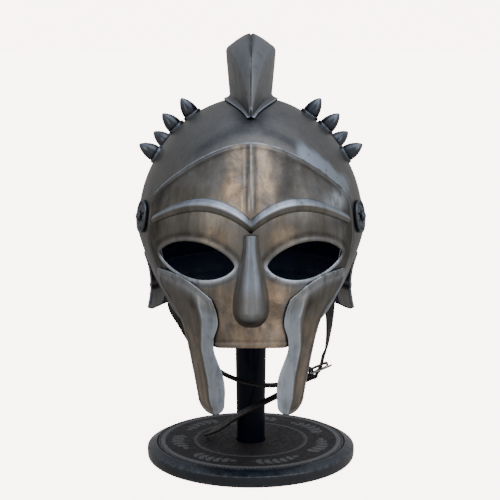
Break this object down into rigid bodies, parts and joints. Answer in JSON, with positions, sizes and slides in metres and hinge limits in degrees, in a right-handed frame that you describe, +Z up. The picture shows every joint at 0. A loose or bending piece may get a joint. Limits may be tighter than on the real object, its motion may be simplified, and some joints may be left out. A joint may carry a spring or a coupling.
{
  "type": "gladiator helmet on display stand",
  "caption": "Closed-face gladiator helmet in dark steel with crest, studs, cheek and neck guards and buckled chin strap, on a turned black stand.",
  "frame": {"origin": "centre of the stand's underside, below the post's axis", "axes": "+Z up along the post, the helmet's face looks along -Y, +X is to the right as seen from the front"},
  "size_m": [0.2144, 0.2773, 0.4097],
  "materials": {
    "dark_steel": "satin dark grey steel with a bluish tint, lightly scratched, brighter on worn edges",
    "worn_steel": "aged grey-brown steel with vertical brushing, brown patina and bright bluish worn edges",
    "nickel": "nickel-plated wire, polished",
    "black_leather": "smooth black strap leather with fine grain and burnished edges",
    "embossed_hide": "dark brown-black leather, embossed with rings, stitched dashes and leaf sprigs",
    "lacquered_wood": "turned wood under glossy blue-black lacquer"
  },
  "bodies": {
    "root": {"boss_left_1": "dark_steel", "boss_left_2": "dark_steel", "boss_left_3": "dark_steel", "boss_left_4": "dark_steel", "boss_left_5": "dark_steel", "boss_right_1": "dark_steel", "boss_right_2": "dark_steel", "boss_right_3": "dark_steel", "boss_right_4": "dark_steel", "boss_right_5": "dark_steel", "brow_band": "worn_steel", "buckle_frame": "nickel", "buckle_prong": "nickel", "buckle_strap": "black_leather", "cheek_guard_left": "worn_steel", "cheek_guard_right": "worn_steel", "crest": "dark_steel", "face_plate": "worn_steel", "hole_strap": "black_leather", "neck_guard": "dark_steel", "nose_guard": "worn_steel", "rosette_left": "dark_steel", "rosette_right": "dark_steel", "skull_bowl": "dark_steel", "stand_base": "lacquered_wood", "stand_head": "lacquered_wood", "stand_inlay": "embossed_hide", "stand_post": "lacquered_wood", "strap_keeper": "nickel", "temple_pin_left": "dark_steel", "temple_pin_right": "dark_steel"}
  },
  "joints": []
}
